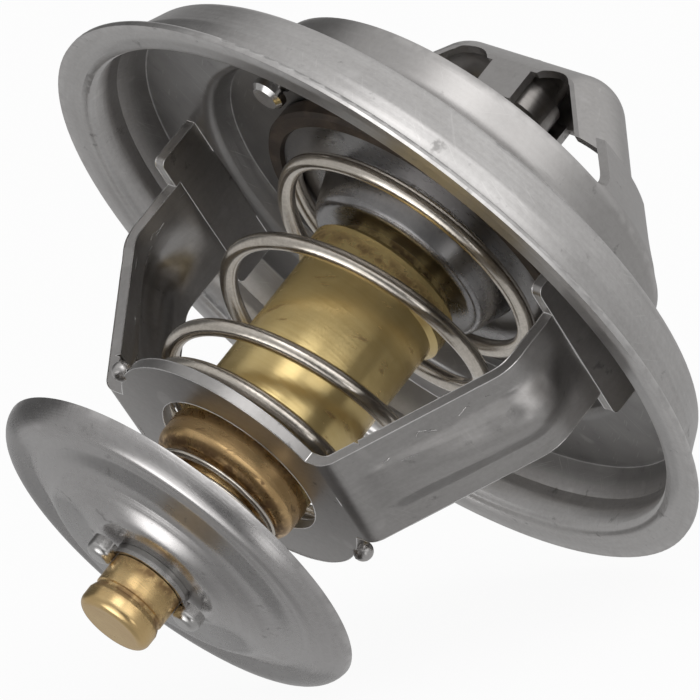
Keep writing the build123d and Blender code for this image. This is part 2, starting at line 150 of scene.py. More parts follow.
class Graph:
    """Builds the node tree of one material or world."""

    def __init__(self, tree: bpy.types.NodeTree) -> None:
        """Starts from an empty tree.

        Args:
            tree: The node tree to fill.
        """
        tree.nodes.clear()
        self.tree = tree

    def node(self, kind: str, settings: dict[str, object],
             inputs: dict[Union[str, int], object]) -> bpy.types.Node:
        """Adds any node.

        Args:
            kind: The node's type name.
            settings: Properties of the node, set before its sockets.
            inputs: Values, sockets or signals by socket name or number.

        Returns:
            The new node.
        """
        made = self.tree.nodes.new(kind)
        for name, value in settings.items():
            setattr(made, name, value)
        for key, value in inputs.items():
            socket = made.inputs[key]
            if isinstance(value, Signal):
                value = value.socket
            if isinstance(value, Socket):
                self.tree.links.new(value, socket)
            elif socket.type == "RGBA" and len(value) == 3:
                socket.default_value = (*value, 1.0)
            else:
                socket.default_value = value
        return made

    def math(self, operation: str, *values: Operand) -> Signal:
        """Adds a Math node.

        Args:
            operation: Name of the operation.
            values: Its inputs in order.

        Returns:
            The result.
        """
        node = self.node("ShaderNodeMath", {"operation": operation},
                         dict(enumerate(values)))
        return Signal(self, node.outputs[0])

    def read(self, kind: str, output: str) -> Signal:
        """One output of a node that has no inputs.

        Args:
            kind: The node's type name.
            output: Name of the output.

        Returns:
            The output.
        """
        return Signal(self, self.node(kind, {}, {}).outputs[output])

    def millimetres(self) -> Socket:
        """Object coordinates in millimetres."""
        return self.node("ShaderNodeMapping", {}, {
            "Vector": self.read("ShaderNodeTexCoord", "Object"),
            "Scale": (1 / MM, 1 / MM, 1 / MM)}).outputs["Vector"]

    def split(self, vector: Union[Signal, Socket]) -> tuple[Signal, Signal, Signal]:
        """The three parts of a vector."""
        node = self.node("ShaderNodeSeparateXYZ", {}, {"Vector": vector})
        return tuple(Signal(self, out) for out in node.outputs)

    def join(self, x: Operand, y: Operand, z: Operand) -> Socket:
        """A vector of three parts."""
        node = self.node("ShaderNodeCombineXYZ", {}, {0: x, 1: y, 2: z})
        return node.outputs["Vector"]

    def turn(self, vector: Socket, scale: Triple,
             rotation: Triple = (0.0, 0.0, 0.0)) -> Socket:
        """Turns coordinates and then stretches them.

        Args:
            vector: The coordinates.
            scale: Factor along each axis after the turn.
            rotation: Euler angles in radians.

        Returns:
            The new coordinates.
        """
        node = self.node("ShaderNodeMapping", {}, {
            "Vector": vector, "Rotation": rotation})
        node = self.node("ShaderNodeMapping", {}, {
            "Vector": node.outputs["Vector"], "Scale": scale})
        return node.outputs["Vector"]

    def noise(self, vector: Socket, pattern: Pattern) -> Signal:
        """Smooth noise centred on a half.

        Args:
            vector: Coordinates, in millimetres or stretched.
            pattern: The noise pattern.

        Returns:
            The noise value.
        """
        node = self.node("ShaderNodeTexNoise", {}, {
            "Vector": vector, "Scale": pattern.scale, "Detail": pattern.detail,
            "Roughness": pattern.roughness})
        return Signal(self, node.outputs[0])

    def blend(self, mask: Operand, low: Union[Colour, Socket],
              high: Union[Colour, Socket]) -> Socket:
        """Mixes two colours.

        Args:
            mask: 0 gives low and 1 gives high.
            low: First colour.
            high: Second colour.

        Returns:
            The mixed colour.
        """
        node = self.node("ShaderNodeMix", {"data_type": "RGBA", "clamp_factor": True},
                         {0: mask, 6: low, 7: high})
        return node.outputs[2]

    def bump(self, height: Signal, distance: float,
             normal: Optional[Socket] = None) -> Socket:
        """Turns heights into a shading normal.

        Args:
            height: Height as a share of the distance.
            distance: Depth of the relief in millimetres.
            normal: A normal that this relief is laid over.

        Returns:
            The shading normal.
        """
        inputs = {"Height": height, "Distance": distance * MM, "Strength": 1.0}
        if normal is not None:
            inputs["Normal"] = normal
        return self.node("ShaderNodeBump", {}, inputs).outputs["Normal"]


# Patterns that the finishes share

THREADS = Pattern(1.0, 3.0, 0.6)
SCRATCHES = Pattern(1.0)
CLOUDS = Pattern(0.16, 3.0)
SKIN = Pattern(5.5)
SPECKS = Pattern(2.2, 2.0, 0.7)
STAINS = Pattern(0.5, 4.0, 0.65)
RUBS = Pattern(0.35, 1.0)
BREAKS = Pattern(0.6, 3.0)
# HOLLOWS breaks the painted shade of the dish's hollow into blotches
HOLLOWS = Pattern(0.25, 3.0)
BRASS_CLOUDS = Pattern(0.3, 3.0)
BRASS_SKIN = Pattern(4.0, 3.0)
TARNISH = Pattern(1.0, 4.0, 0.6)
CREEP = Pattern(0.9, 3.0, 0.6)
BLOOM = Pattern(0.45, 4.0, 0.6)

# Noise levels between which a pattern turns into a mask

RUB_LEVELS = (0.66, 0.74)
SHEET_RUB_LEVELS = (0.68, 0.76)
BREAK_LEVELS = (0.36, 0.6)
CREEP_LEVELS = (0.38, 0.62)
BLOOM_LEVELS = (0.42, 0.72)
SCRATCH_SPAN = 0.05
STAIN_SPAN = 0.12
TARNISH_SPAN = 0.1

# Parts of the surface's direction between which the painted shade of a hollow starts and is
# full

FACING_DOWN = (-0.4, -0.8)
FACING_INWARD = (-0.2, -0.5)

# Directions and depth of the long marks

STRIP_STRETCH = 0.25
SCRATCH_STRETCH: Triple = (9.0, 0.12, 0.4)
SCRATCH_ANGLES = (0.6, 2.1)
SCRATCH_TILT = (0.7, 0.5)
SCRATCH_RARER = 0.015
SCRATCH_DEPTH = 0.0015
TARNISH_STRETCH: Triple = (0.35, 0.35, 1.1)
TARNISH_TURN: Triple = (0.0, 0.4, 0.0)

# How strongly the masks change the colour

# Rubbed patches and the painted highlight on the stirrup's lugs share these two
RUB_AND_HIGHLIGHT_STRENGTH = 0.6
RUB_AND_HIGHLIGHT_SHADE = 1.25
SCRATCH_STRENGTH = 0.16
STAIN_STRENGTH = 0.55
STAIN_SHADE = 0.45
# Painted shade of the dish's hollow: how dark it goes, and its least and spread strength
PAINTED_SHADE_DEPTH = 0.5
PAINTED_SHADE_LEAST = 0.6
PAINTED_SHADE_SPREAD = 0.5
SPOT_STRENGTH = 0.8
TARNISH_STRENGTH = 0.8

# How much the masks change the roughness and the metal

RUB_SMOOTHER = 0.06
STAIN_ROUGHER = 0.12
TARNISH_ROUGHER = 0.2
TARNISH_METAL_LOSS = 0.35
BLOOM_ROUGHER = 0.25
SMOOTHEST = 0.06


@dataclass
class Lie:
    """Where a point of the surface lies, in millimetres, for a pattern to follow."""

    graph: Graph
    place: Socket = field(init=False)
    x: Signal = field(init=False)
    y: Signal = field(init=False)
    z: Signal = field(init=False)
    radius: Signal = field(init=False)

    def __post_init__(self) -> None:
        """Works out the axes and the distance from the thermostat's axis."""
        graph = self.graph
        self.place = graph.millimetres()
        self.x, self.y, self.z = graph.split(self.place)
        self.radius = (self.x * self.x + self.y * self.y).math("SQRT")

    def away(self, radius: float, height: float) -> Signal:
        """Distance from a ring round the axis.

        Args:
            radius: Radius of the ring in millimetres.
            height: Its height in millimetres.

        Returns:
            The distance in millimetres.
        """
        across, along = self.radius - radius, self.z - height
        return (across * across + along * along).math("SQRT")

    def rings(self, fine: float, drift: float) -> Signal:
        """Turned or drawn lines that run round the axis.

        The noise is stretched so that it changes quickly with radius and height and
        slowly round the axis.

        Args:
            fine: Lines per millimetre.
            drift: How quickly a line changes along its length.

        Returns:
            Noise centred on a half.
        """
        vector = self.graph.join(
            self.radius * fine + self.x * (drift / 2),
            self.z * fine + self.y * (drift / 2), (self.x - self.y) * drift)
        return self.graph.noise(vector, THREADS)

    def scratches(self, angle: float, amount: float) -> Signal:
        """Sparse long scratches in one direction.

        Args:
            angle: Direction in radians, about a tilted axis.
            amount: Noise level above which a scratch shows.

        Returns:
            A mask between 0 and 1.
        """
        follow, tilt = SCRATCH_TILT
        vector = self.graph.turn(self.place, SCRATCH_STRETCH, (follow * angle, tilt, angle))
        return self.graph.noise(vector, SCRATCHES).step(amount, amount + SCRATCH_SPAN)


# Finishes

def shaded(colour: Colour, factor: float) -> Colour:
    """The colour made darker or lighter, white at most."""
    return tuple(min(1.0, factor * part) for part in colour)


@dataclass(frozen=True)
class Shares:
    """How much each pattern counts in a mixture.

    Attributes:
        clouds: Share of the wide clouds.
        lines: Share of the fine lines.
        specks: Share of the specks.
        lowered: What is taken off the sum.
    """

    clouds: float
    lines: float
    specks: float = 0.0
    lowered: float = 0.0

    def mix(self, clouds: Signal, lines: Signal, specks: Operand = 0.0) -> Signal:
        """Weighted sum of the patterns."""
        mixed = clouds * self.clouds + lines * self.lines + specks * self.specks
        return mixed - self.lowered


class Grain(Enum):
    """Which way the fine lines of a metal run."""

    ROUND_AXIS = "round"
    ALONG_STRIP = "strip"
    NONE = "none"


class Finish(ABC):
    """A material of one Principled shader."""

    @abstractmethod
    def inputs(self, lie: Lie) -> dict[str, object]:
        """Works out what feeds the shader.

        Args:
            lie: Where the surface lies.

        Returns:
            Values and links by the names of the shader's sockets.
        """

    def dress(self, name: str) -> bpy.types.Material:
        """Builds the material.

        Args:
            name: Name of the material.

        Returns:
            The material.
        """
        material = bpy.data.materials.new(name)
        material.use_nodes = True
        graph = Graph(material.node_tree)
        shader = graph.node("ShaderNodeBsdfPrincipled", {}, self.inputs(Lie(graph)))
        graph.node("ShaderNodeOutputMaterial", {}, {"Surface": shader.outputs[0]})
        return material


@dataclass(frozen=True)
class Metal(Finish):
    """Bare metal with cloudy colour, grain, scratches and worn places.

    Attributes:
        colour: Colour of the clean metal.
        dull: Colour of stained or darker patches.
        roughness: Lowest and highest roughness.
        grain: Direction of the fine lines.
        lines: Lines per millimetre.
        drift: How quickly a line that runs round changes along its length.
        relief: Depth of the lines in millimetres.
        peel: Depth of the grainy skin in millimetres.
        stain: Noise level above which stains show; 1 means none.
        scratch: Noise level above which scratches show; 1 means none.
        patches: Strength of the scattered rubbed patches.
        tint: How the patterns count in the colour.
        polish: How the patterns count in the roughness.
    """

    colour: Colour
    dull: Colour
    roughness: tuple[float, float]
    grain: Grain = Grain.ROUND_AXIS
    lines: float = 4.0
    drift: float = 0.15
    relief: float = 0.006
    peel: float = 0.004
    stain: float = 0.62
    scratch: float = 0.66
    patches: float = 0.4
    tint: Shares = Shares(clouds=0.8, lines=0.7, specks=0.8, lowered=0.65)
    polish: Shares = Shares(clouds=0.75, lines=0.45, specks=0.3, lowered=0.25)

    def fine_lines(self, lie: Lie) -> Signal:
        """Noise of the fine lines.

        Args:
            lie: Where the surface lies.

        Returns:
            Noise centred on a half.
        """
        if self.grain is Grain.ROUND_AXIS:
            return lie.rings(self.lines, self.drift)
        if self.grain is Grain.ALONG_STRIP:
            vector = lie.graph.turn(lie.place, (STRIP_STRETCH, self.lines, STRIP_STRETCH))
            return lie.graph.noise(vector, THREADS)
        return lie.graph.noise(lie.place, replace(THREADS, scale=self.lines))

    def wear_and_highlight(self, lie: Lie) -> Signal:
        """Mask of places that are rubbed bright, in scattered patches on plain metal."""
        return lie.graph.noise(lie.place, RUBS).step(*RUB_LEVELS) * self.patches

    def soften(self, lie: Lie) -> Optional[Socket]:
        """Shading normal that rounds the folds; none on plain metal."""
        return None

    def painted_shade(self, lie: Lie) -> Operand:
        """Mask of painted shade; none on plain metal."""
        return 0.0

    def inputs(self, lie: Lie) -> dict[str, object]:
        """Works out what feeds the shader.

        The colour goes from dull to clean with the patterns, is darkened by stains and by
        painted shade, and is lightened by scratches, by rubbing and by the painted
        highlight on the stirrup's lugs. Stains are rougher, and rubbed places and the lugs
        are smoother.

        Args:
            lie: Where the surface lies.

        Returns:
            Values and links by the names of the shader's sockets.
        """
        graph = lie.graph
        clouds = graph.noise(lie.place, CLOUDS)
        specks = graph.noise(lie.place, SPECKS)
        lines = self.fine_lines(lie)
        stain = graph.noise(lie.place, STAINS).step(self.stain, self.stain + STAIN_SPAN)
        first, second = SCRATCH_ANGLES
        mark = graph.math("MAXIMUM", lie.scratches(first, self.scratch),
                          lie.scratches(second, self.scratch + SCRATCH_RARER))
        # Rubbed wear, and on the stirrup also the painted highlight on its lugs
        rub_and_highlight = self.wear_and_highlight(lie)
        lightened = graph.math("MAXIMUM", mark * SCRATCH_STRENGTH, rub_and_highlight * RUB_AND_HIGHLIGHT_STRENGTH)
        colour = graph.blend(self.tint.mix(clouds, lines, specks), self.dull, self.colour)
        colour = graph.blend(stain * STAIN_STRENGTH, colour,
                             shaded(self.dull, STAIN_SHADE))
        # Painted shade: the hollow on the engine's side is darkened towards the dull colour
        colour = graph.blend(self.painted_shade(lie), colour, shaded(self.dull, PAINTED_SHADE_DEPTH))
        colour = graph.blend(lightened, colour, shaded(self.colour, RUB_AND_HIGHLIGHT_SHADE))
        smooth, coarse = self.roughness
        spread = self.polish.mix(clouds, lines, specks) * (coarse - smooth)
        roughness = spread + smooth - rub_and_highlight * RUB_SMOOTHER + stain * STAIN_ROUGHER
        normal = graph.bump(graph.noise(lie.place, SKIN), self.peel, self.soften(lie))
        normal = graph.bump(lines, self.relief, normal)
        normal = graph.bump(1.0 - mark, SCRATCH_DEPTH, normal)
        return {"Base Color": colour, "Metallic": 1.0,
                "Roughness": roughness.math("MAXIMUM", SMOOTHEST), "Normal": normal}


@dataclass(frozen=True)
class WornSheet(Metal):
    """Drawn stainless sheet, rubbed bright where it turns a corner.

    Attributes:
        edges: Pairs of radius and height in millimetres where a corner runs round.
        reach: How far from the corner the rubbing fades out, in millimetres.
        folds: Radius, height and reach of the soft folds, in millimetres.
        presses: Radius where a pressed form starts, radius where it ends and how far
            it stands out there, in millimetres.
        shade_within: Radius in millimetres within which the side that faces the engine is
            darkened by painted shade; 0 means none.
        fade: Width in millimetres over which the painted shade ends at that radius.
    """

    patches: float = 0.3
    edges: tuple[tuple[float, float], ...] = ()
    reach: float = 0.7
    folds: tuple[Triple, ...] = ()
    presses: tuple[Triple, ...] = ()
    shade_within: float = 0.0
    fade: float = 0.8

    def wear_and_highlight(self, lie: Lie) -> Signal:
        """Mask that is 1 on the listed corners and broken up by noise.

        Args:
            lie: Where the surface lies.

        Returns:
            A mask between 0 and 1.
        """
        broken = lie.graph.noise(lie.place, BREAKS).step(*BREAK_LEVELS)
        total = lie.graph.noise(lie.place, RUBS).step(*SHEET_RUB_LEVELS) * self.patches
        for radius, height in self.edges:
            corner = lie.away(radius, height).step(self.reach, 0.0)
            total = lie.graph.math("MAXIMUM", total, corner * broken)
        return total

    def soften(self, lie: Lie) -> Optional[Socket]:
        """Shading normal that lets the sheet bend over gradually at its folds.

        Within the reach w of a fold the relief is -w/2 (1 - d/w)^2 at the distance d,
        whose slope grows from 0 at the edge of the reach to 1 at the fold itself. A
        pressed form is a smooth step of the radius.

        Args:
            lie: Where the surface lies.

        Returns:
            The shading normal, or none without folds and pressed forms.
        """
        normal = None
        for radius, height, reach in self.folds:
            near = (1.0 - lie.away(radius, height) / reach).math("MAXIMUM", 0.0)
            normal = lie.graph.bump(near * near * -0.5, reach, normal)
        for start, end, height in self.presses:
            normal = lie.graph.bump(lie.radius.step(start, end), height, normal)
        return normal

    def painted_shade(self, lie: Lie) -> Operand:
        """Mask of painted shade in the hollow on the engine's side.

        The sheet is darkened by painted shade where it faces down or inward, within the
        given radius.

        Args:
            lie: Where the surface lies.

        Returns:
            A mask between 0 and 1.
        """
        if not self.shade_within:
            return 0.0
        graph = lie.graph
        # Painted shade, strongest where the sheet faces down or inward inside the dish
        x, y, z = graph.split(graph.read("ShaderNodeNewGeometry", "True Normal"))
        inward = (x * lie.x + y * lie.y) / lie.radius
        hollow = graph.math("MAXIMUM", z.step(*FACING_DOWN), inward.step(*FACING_INWARD))
        cloudy = graph.noise(lie.place, HOLLOWS) * PAINTED_SHADE_SPREAD + PAINTED_SHADE_LEAST
        return hollow * lie.radius.step(self.shade_within + self.fade, self.shade_within) * cloudy


@dataclass(frozen=True)
class PressedLegs(Metal):
    """Strip metal of the stirrup, whose beads run on down the sloping legs.

    The first number of each pair is where a mask is 0 and the second where it is 1,
    in millimetres.

    Attributes:
        lug_side: Distance of the lugs from the middle plane of the legs.
        lug_radius: Radius beyond which the lugs stand out.
        lug_height: Height below which the lugs hang.
        bead_side: Distance of the bead's flank from the middle of the leg.
        bead_foot: Height of the bead's lower end.
        bead_head: Height of its upper end.
        bead_rise: How far the bead stands out.
    """

    lug_side: tuple[float, float] = (5.3, 5.8)
    lug_radius: tuple[float, float] = (12.4, 12.8)
    lug_height: tuple[float, float] = (-17.4, -18.0)
    bead_side: tuple[float, float] = (3.3, 1.7)
    bead_foot: tuple[float, float] = (-18.2, -15.5)
    bead_head: tuple[float, float] = (-3.0, -6.5)
    bead_rise: float = 0.60

    def wear_and_highlight(self, lie: Lie) -> Signal:
        """Mask of rubbed patches and of a painted highlight on the base plate's two lugs.

        Args:
            lie: Where the surface lies.

        Returns:
            A mask between 0 and 1.
        """
        # Painted highlight that brightens the two lugs
        lug_highlight = (lie.y.math("ABSOLUTE").step(*self.lug_side)
               * lie.radius.step(*self.lug_radius) * lie.z.step(*self.lug_height))
        return lie.graph.math("MAXIMUM", super().wear_and_highlight(lie), lug_highlight)

    def soften(self, lie: Lie) -> Optional[Socket]:
        """Shading normal of a low ridge along the middle of each sloping leg.

        Args:
            lie: Where the surface lies.

        Returns:
            The shading normal.
        """
        across = lie.y.math("ABSOLUTE").step(*self.bead_side)
        along = lie.z.step(*self.bead_foot) * lie.z.step(*self.bead_head)
        return lie.graph.bump(across * along, self.bead_rise)


@dataclass(frozen=True)
class TurnedBrass(Metal):
    """Lathe-turned brass with tarnish spots and darkened ends.

    Attributes:
        tarnish: Colour of the tarnish.
        ends: Heights in millimetres where tarnish gathers.
        gather: How far from such a height it reaches, in millimetres.
        metallic: How metallic the clean brass is; less means a duller skin.
    """

    drift: float = 0.25
    tint: Shares = Shares(clouds=0.9, lines=0.6, lowered=0.25)
    polish: Shares = Shares(clouds=0.5, lines=0.5)
    tarnish: Colour = (0.10, 0.045, 0.02)
    ends: tuple[float, ...] = ()
    gather: float = 1.1
    metallic: float = 0.95

    def tarnished(self, lie: Lie) -> Signal:
        """Mask of the tarnish: streaky spots, and creeping patches near the ends.

        Args:
            lie: Where the surface lies.

        Returns:
            A mask between 0 and 1.
        """
        graph = lie.graph
        streak = graph.turn(lie.place, TARNISH_STRETCH, TARNISH_TURN)
        spots = graph.noise(streak, TARNISH).step(self.stain, self.stain + TARNISH_SPAN)
        creep = graph.noise(lie.place, CREEP).step(*CREEP_LEVELS)
        total = spots * SPOT_STRENGTH
        for height in self.ends:
            near = (lie.z - height).math("ABSOLUTE").step(self.gather, 0.0)
            total = graph.math("MAXIMUM", total, near * creep)
        return total

    def inputs(self, lie: Lie) -> dict[str, object]:
        """Works out what feeds the shader.

        Args:
            lie: Where the surface lies.

        Returns:
            Values and links by the names of the shader's sockets.
        """
        graph = lie.graph
        clouds = graph.noise(lie.place, BRASS_CLOUDS)
        lines = self.fine_lines(lie)
        tarnished = self.tarnished(lie)
        colour = graph.blend(self.tint.mix(clouds, lines), self.dull, self.colour)
        colour = graph.blend(tarnished * TARNISH_STRENGTH, colour, self.tarnish)
        smooth, coarse = self.roughness
        spread = self.polish.mix(clouds, lines) * (coarse - smooth)
        normal = graph.bump(graph.noise(lie.place, BRASS_SKIN), self.peel)
        return {"Base Color": colour,
                "Metallic": self.metallic - tarnished * TARNISH_METAL_LOSS,
                "Roughness": spread + smooth + tarnished * TARNISH_ROUGHER,
                "Normal": graph.bump(lines, self.relief, normal)}


@dataclass(frozen=True)
class Moulded(Finish):
    """Rubber, plastic or wax, with mottling and a fine skin.

    Attributes:
        colour: Main colour.
        pale: Colour of bloom and dust.
        roughness: Middle roughness.
        skin_scale: Bumps per millimetre.
        relief: Depth of the skin in millimetres.
        specular: Specular level.
        waxy: Subsurface weight.
    """

    colour: Colour
    pale: Colour
    roughness: float
    skin_scale: float = 6.0
    relief: float = 0.02
    specular: float = 0.4
    waxy: float = 0.0

    def inputs(self, lie: Lie) -> dict[str, object]:
        """Works out what feeds the shader.

        Args:
            lie: Where the surface lies.

        Returns:
            Values and links by the names of the shader's sockets.
        """
        graph = lie.graph
        bloom = graph.noise(lie.place, BLOOM)
        skin = graph.noise(lie.place, replace(THREADS, scale=self.skin_scale))
        return {"Base Color": graph.blend(
                    bloom.step(*BLOOM_LEVELS), self.colour, self.pale),
                "Roughness": self.roughness + (bloom + skin - 1.0) * BLOOM_ROUGHER,
                "Specular IOR Level": self.specular, "Subsurface Weight": self.waxy,
                "Normal": graph.bump(skin, self.relief)}


# Table, light and camera

@dataclass(frozen=True)
class Glow:
    """A bright or, below zero, a dark patch of the studio.

    Attributes:
        way: Direction along the camera's right, up and back axes.
        outer: Cosine of the angle at which the patch has faded out.
        inner: Cosine of the angle within which it is at full strength.
        strength: Brightness added at its middle; negative for a dark patch.
    """

    way: Triple
    outer: float
    inner: float
    strength: float


@dataclass(frozen=True)
class SoftBox:
    """A lamp that faces the origin.

    Attributes:
        name: Name of the lamp.
        place: Where it stands along the camera's right, up and back axes, in metres.
        width: Width of the box in metres.
        height: Height of the box in metres.
        power: Power in watts.
    """

    name: str
    place: Triple
    width: float
    height: float
    power: float


@dataclass(frozen=True)
class Stage:
    """Table, light and camera.

    The camera stands where the picture was taken: below the rim, on the side of the
    bypass disc, with a long lens. Its axes are given in the thermostat's frame. The
    table is the plane that passes just below the rim and the bypass disc.

    Attributes:
        right: The camera's right axis.
        up: The camera's up axis.
        back: The axis from the thermostat towards the camera.
        aim: How far the camera stands right of and above the origin, in metres.
        distance: Distance of the camera from the origin in metres.
        lens: Focal length in millimetres.
        sensor: Width of the sensor in millimetres.
        tent: Brightness of the even studio in a reflection.
        tent_behind: What is added to it behind the thermostat.
        tent_turn: Cosines to the back axis between which that comes in.
        tent_matt: What is added to it for matt surfaces.
        glows: The patches of the studio.
        boxes: The lamps.
        rim_reach: Radius of the rim where the table passes it, in metres.
        disc_reach: Radius of the bypass disc where the table passes it, in metres.
        disc_height: Height of that place on the disc, in metres.
        table_half: Half the width of the table in metres.
        table_gap: How far the table lies below the two places, in metres.
        table_glow: Share of pure white in what the camera sees of the table.
        table_colour: Colour of the rest.
    """

    right: Vector = Vector((0.69682, 0.41479, 0.58515))
    up: Vector = Vector((-0.24660, -0.62760, 0.73843))
    back: Vector = Vector((0.67361, -0.65890, -0.33513))
    aim: tuple[float, float] = (-0.001972, -0.004559)
    distance: float = 0.6589
    lens: float = 397.1
    sensor: float = 36.0
    tent: float = 0.41
    tent_behind: float = 0.04
    tent_turn: tuple[float, float] = (0.3, -0.7)
    tent_matt: float = 0.15
    glows: tuple[Glow, ...] = (
        Glow((0.42, 0.54, 0.73), 0.70, 0.97, 0.62),
        Glow((0.50, 0.85, -0.18), 0.64, 0.95, 0.25),
        Glow((0.00, 0.76, 0.65), 0.935, 0.990, 0.90),
        Glow((0.46, -0.39, 0.80), 0.975, 0.995, 1.10),
        Glow((-0.60, -0.42, 0.68), 0.83, 0.97, 0.95),
        Glow((0.08, -0.25, 0.96), 0.86, 0.98, -0.28),
        Glow((-0.75, -0.50, 0.43), 0.93, 0.99, 1.50),
        Glow((-0.56, 0.50, -0.66), 0.80, 0.96, -0.34),
        Glow((-0.45, 0.85, 0.30), 0.75, 0.96, 0.16),
        Glow((-0.50, -0.86, 0.00), 0.80, 0.97, -0.12),
    )
    boxes: tuple[SoftBox, ...] = (
        SoftBox("key", (0.03, 0.48, 0.44), 0.30, 0.10, 0.09),
        SoftBox("side", (0.36, 0.26, 0.52), 0.30, 0.26, 0.12),
    )
    rim_reach: float = 0.0337
    disc_reach: float = 0.0180
    disc_height: float = -0.0279
    table_half: float = 1.6
    table_gap: float = 0.0006
    table_glow: float = 0.94
    table_colour: Colour = (0.8, 0.8, 0.8)

    def spot(self, right: float, up: float, back: float) -> Vector:
        """A place given along the camera's axes, in metres from the origin."""
        return self.right * right + self.up * up + self.back * back

    def set_camera(self) -> None:
        """Makes the camera and gives it to the scene."""
        data = bpy.data.cameras.new("camera")
        data.lens, data.sensor_width = self.lens, self.sensor
        data.sensor_fit = "HORIZONTAL"
        data.clip_start, data.clip_end = 0.01, 20.0
        camera = bpy.data.objects.new("camera", data)
        turn = Matrix((self.right, self.up, self.back)).transposed().to_4x4()
        camera.matrix_world = Matrix.Translation(
            self.spot(*self.aim, self.distance)) @ turn
        bpy.context.scene.collection.objects.link(camera)
        bpy.context.scene.camera = camera

    def set_box(self, box: SoftBox) -> None:
        """Adds a lamp that faces the origin.

        Args:
            box: The lamp.
        """
        data = bpy.data.lights.new(box.name, "AREA")
        data.shape, data.energy = "RECTANGLE", box.power
        data.size, data.size_y = box.width, box.height
        lamp = bpy.data.objects.new(box.name, data)
        place = self.spot(*box.place)
        turn = place.to_track_quat("Z", "Y").to_matrix().to_4x4()
        lamp.matrix_world = Matrix.Translation(place) @ turn
        bpy.context.scene.collection.objects.link(lamp)

    def set_world(self) -> None:
        """White to the camera; to the metal, an even tent with soft patches."""
        world = bpy.data.worlds.new("studio")
        world.use_nodes = True
        bpy.context.scene.world = world
        graph = Graph(world.node_tree)
        way = graph.read("ShaderNodeTexCoord", "Generated")

        def nearness(axis: Vector) -> Signal:
            """Cosine of the angle between the looked-at direction and an axis."""
            node = graph.node("ShaderNodeVectorMath", {"operation": "DOT_PRODUCT"},
                              {0: way, 1: axis})
            return Signal(graph, node.outputs["Value"])

        strength = nearness(self.back).step(*self.tent_turn) * self.tent_behind + self.tent
        for glow in self.glows:
            near = nearness(self.spot(*glow.way).normalized())
            strength = strength + near.step(glow.outer, glow.inner) * glow.strength
        matt = graph.read("ShaderNodeLightPath", "Is Diffuse Ray")
        seen = graph.read("ShaderNodeLightPath", "Is Camera Ray")
        strength = strength + matt * self.tent_matt
        shader = graph.node("ShaderNodeBackground", {}, {
            "Color": WHITE, "Strength": seen + (1.0 - seen) * strength})
        graph.node("ShaderNodeOutputWorld", {}, {"Surface": shader.outputs[0]})

    def table_corners(self) -> np.ndarray:
        """Corners of the plane that passes just below the rim and the bypass disc.

        The line through the two lowest places, one on the rim and one on the disc, is
        the slope of the table; the other direction is level across it.

        Returns:
            The four corners in metres, of shape (4, 3).
        """
        axis = Vector((0, 0, 1))
        low = -(self.up - self.up.dot(axis) * axis)
        low.normalize()
        rim = low * self.rim_reach
        disc = low * self.disc_reach + axis * self.disc_height
        slope = (rim - disc).normalized()
        level = slope.cross(low.cross(axis)).normalized()
        if level.dot(self.up) < 0:
            level = -level
        across = level.cross(slope)
        size = np.array([[-1, -1], [1, -1], [1, 1], [-1, 1]]) * self.table_half
        middle = np.array(rim) - np.array(level) * self.table_gap
        return middle + size[:, :1] * np.array(across) + size[:, 1:] * np.array(slope)

    def table_finish(self) -> bpy.types.Material:
        """White to the camera with a soft shadow, and clear to reflections and from below.

        Returns:
            The material.
        """
        material = bpy.data.materials.new("table_white")
        material.use_nodes = True
        graph = Graph(material.node_tree)
        seen = graph.read("ShaderNodeLightPath", "Is Camera Ray")
        glossy = graph.read("ShaderNodeLightPath", "Is Glossy Ray")
        through = graph.read("ShaderNodeLightPath", "Is Transmission Ray")
        under = graph.read("ShaderNodeNewGeometry", "Backfacing")
        glow = graph.node("ShaderNodeEmission", {}, {"Color": WHITE})
        matt = graph.node("ShaderNodeBsdfDiffuse", {}, {"Color": self.table_colour})
        lit = graph.node("ShaderNodeMixShader", {}, {
            0: seen * self.table_glow, 1: matt.outputs[0], 2: glow.outputs[0]})
        clear = graph.node("ShaderNodeBsdfTransparent", {}, {})
        hidden = graph.math("MAXIMUM", glossy, through).math("MAXIMUM", under)
        whole = graph.node("ShaderNodeMixShader", {}, {
            0: hidden, 1: lit.outputs[0], 2: clear.outputs[0]})
        graph.node("ShaderNodeOutputMaterial", {}, {"Surface": whole.outputs[0]})
        return material

    def set_table(self) -> None:
        """Adds the table; its upper side is the face's front."""
        mesh = bpy.data.meshes.new("table")
        mesh.from_pydata(self.table_corners().tolist(), [], [(3, 2, 1, 0)])
        mesh.update()
        mesh.materials.append(self.table_finish())
        table = bpy.data.objects.new("table", mesh)
        bpy.context.scene.collection.objects.link(table)

    def build(self) -> None:
        """Makes the whole stage."""
        bpy.context.scene.view_settings.view_transform = "Standard"
        self.set_camera()
        self.set_world()
        self.set_table()
        for box in self.boxes:
            self.set_box(box)
        LOG.info("stage: camera, world, table and %d soft boxes", len(self.boxes))


# The thermostat's own finishes

